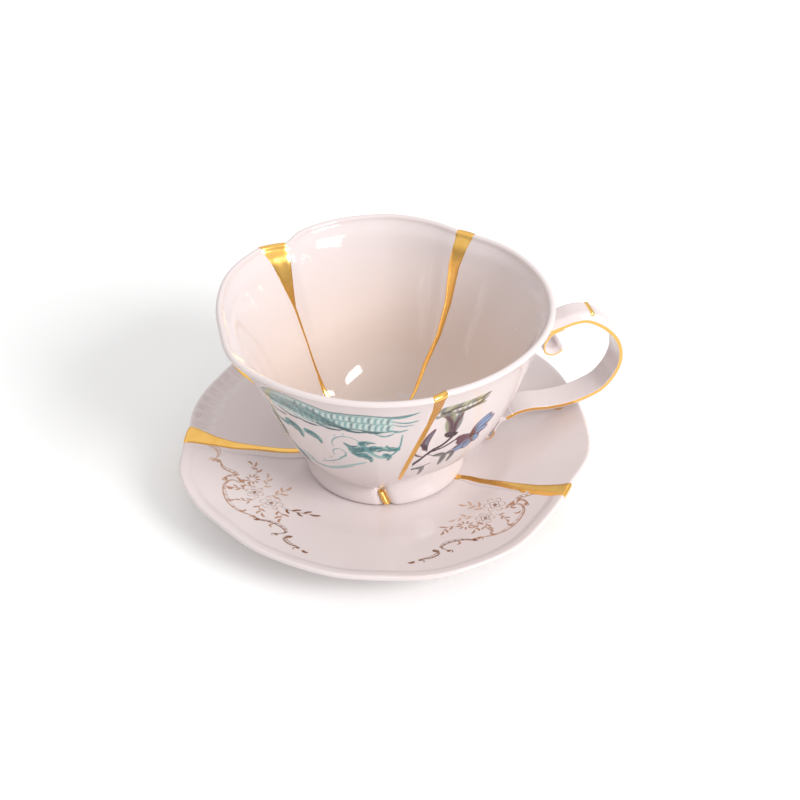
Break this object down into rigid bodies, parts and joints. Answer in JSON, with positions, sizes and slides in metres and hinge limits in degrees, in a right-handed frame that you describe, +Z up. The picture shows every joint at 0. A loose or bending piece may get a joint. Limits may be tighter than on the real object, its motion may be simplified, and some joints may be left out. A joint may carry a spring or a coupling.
{
  "type": "kintsugi cup and saucer",
  "caption": "Porcelain tea cup with a scrolled strap handle, standing on its saucer, both joined from unlike fragments with gold seams",
  "frame": {"origin": "on the surface that the saucer stands on, under the middle of the whole object's bounding box", "axes": "+Z is up and +X is the way the handle points; the axis of cup and saucer is upright, at about x -6.6 mm and y 0.5 mm"},
  "size_m": [0.151, 0.1372, 0.0685],
  "materials": {
    "porcelain": "warm white porcelain under a clear gloss glaze, with transfer ornament in teal, plum, blue and sepia",
    "gold": "polished gold lustre over a filled joint"
  },
  "bodies": {
    "root": {"cup": "porcelain", "saucer": "porcelain", "cup_seam_left": "gold", "cup_seam_right": "gold", "cup_seam_front": "gold", "cup_foot_seam": "gold", "handle_seam": "gold", "saucer_seam_left": "gold", "saucer_seam_right": "gold", "saucer_seam_back": "gold"}
  },
  "joints": []
}
